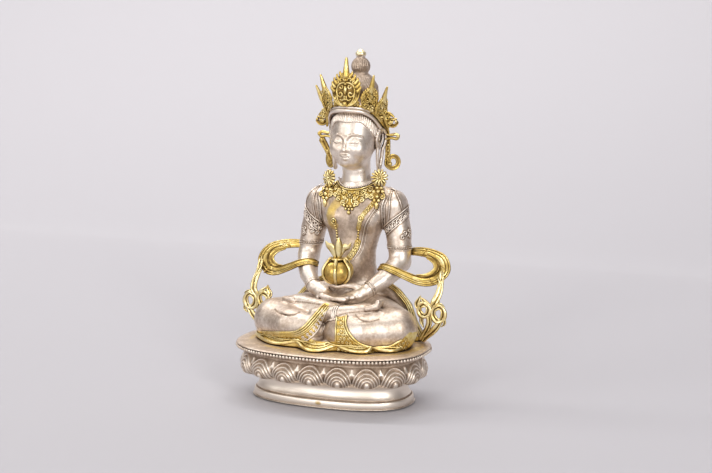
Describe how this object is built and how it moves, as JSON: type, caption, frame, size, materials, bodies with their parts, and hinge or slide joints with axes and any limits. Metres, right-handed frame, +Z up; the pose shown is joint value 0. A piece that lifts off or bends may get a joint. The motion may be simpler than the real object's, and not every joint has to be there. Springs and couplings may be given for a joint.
{
  "type": "bodhisattva statue",
  "caption": "Seated, crowned bodhisattva holding a treasure vase in its lap, with looping scarves, on an oval lotus plinth. Small silvered casting with gilt ornament.",
  "frame": {"origin": "on the flat underside, under the figure's own axis, near the middle of the plinth", "axes": "+Z up, the figure faces -Y, its left hand is towards +X"},
  "size_m": [0.1318, 0.0941, 0.2097],
  "materials": {
    "plinth_silver": "silver plate, matt grey in the lotus petals and brighter on the foot",
    "figure_silver": "silver plate, softly polished, with a warm grey patina in the recesses",
    "gilt": "bright yellow gilding, worn brown in the recesses"
  },
  "bodies": {
    "root": {"lotus_plinth": "plinth_silver", "figure": "figure_silver", "crown": "gilt", "treasure_vase": "gilt", "scarf_left": "gilt", "scarf_right": "gilt"}
  },
  "joints": []
}
